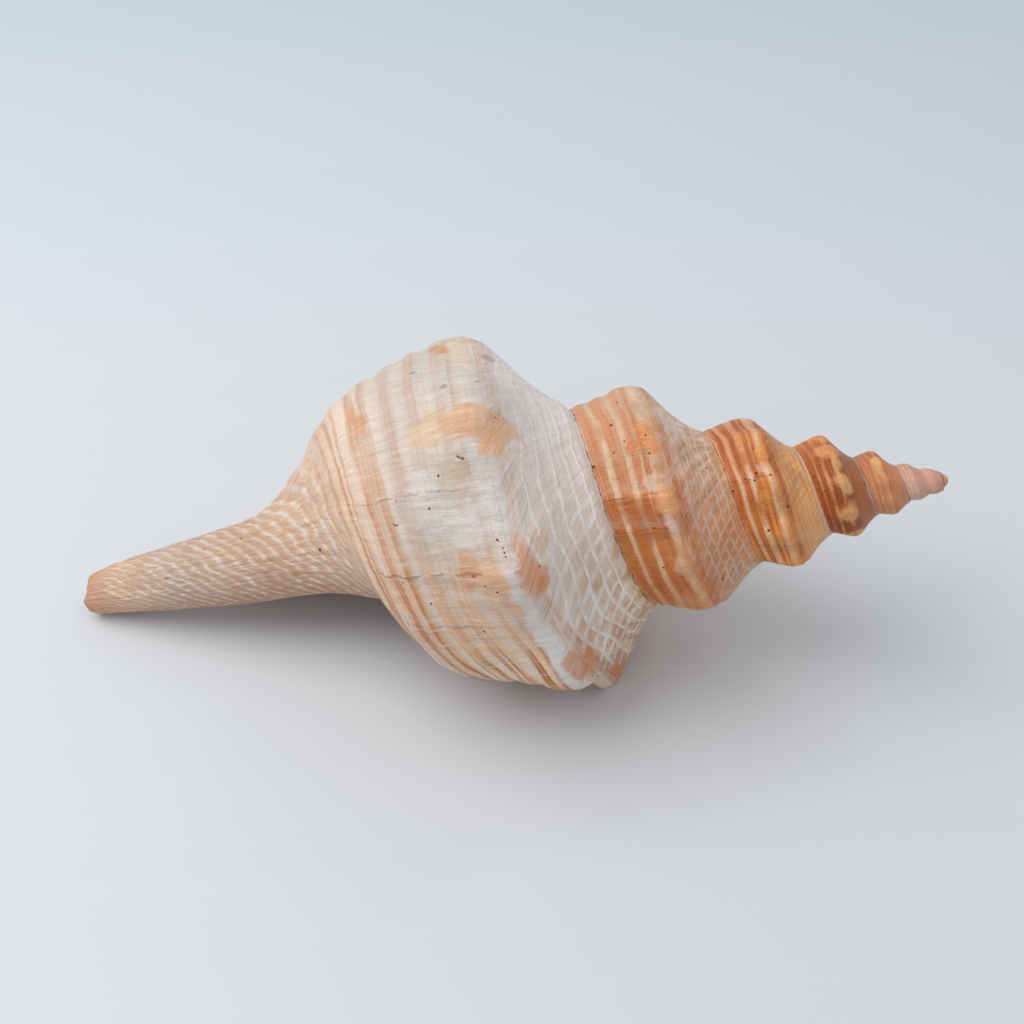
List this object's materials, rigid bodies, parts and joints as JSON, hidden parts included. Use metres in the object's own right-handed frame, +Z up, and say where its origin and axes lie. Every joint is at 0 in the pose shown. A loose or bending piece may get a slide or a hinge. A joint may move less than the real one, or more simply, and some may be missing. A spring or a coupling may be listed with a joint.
{
  "type": "horse conch shell",
  "caption": "Dried spindle-shaped sea snail shell with knobbed whorls, a tall spire, an open aperture and a long siphonal canal, lying aperture down.",
  "frame": {"origin": "centre of the bounding box in plan, at the surface the shell lies on", "axes": "+X to the spire's end (the apex points to +X and 10.8 degrees up), +Z up, the outer lip on the +Y side with the aperture facing down and forwards to -Y"},
  "size_m": [0.2302, 0.0972, 0.0848],
  "materials": {
    "shell": "satin natural shell: bluish white and peach body, orange spire"
  },
  "bodies": {
    "root": {"horse_conch_shell": "shell"}
  },
  "joints": []
}
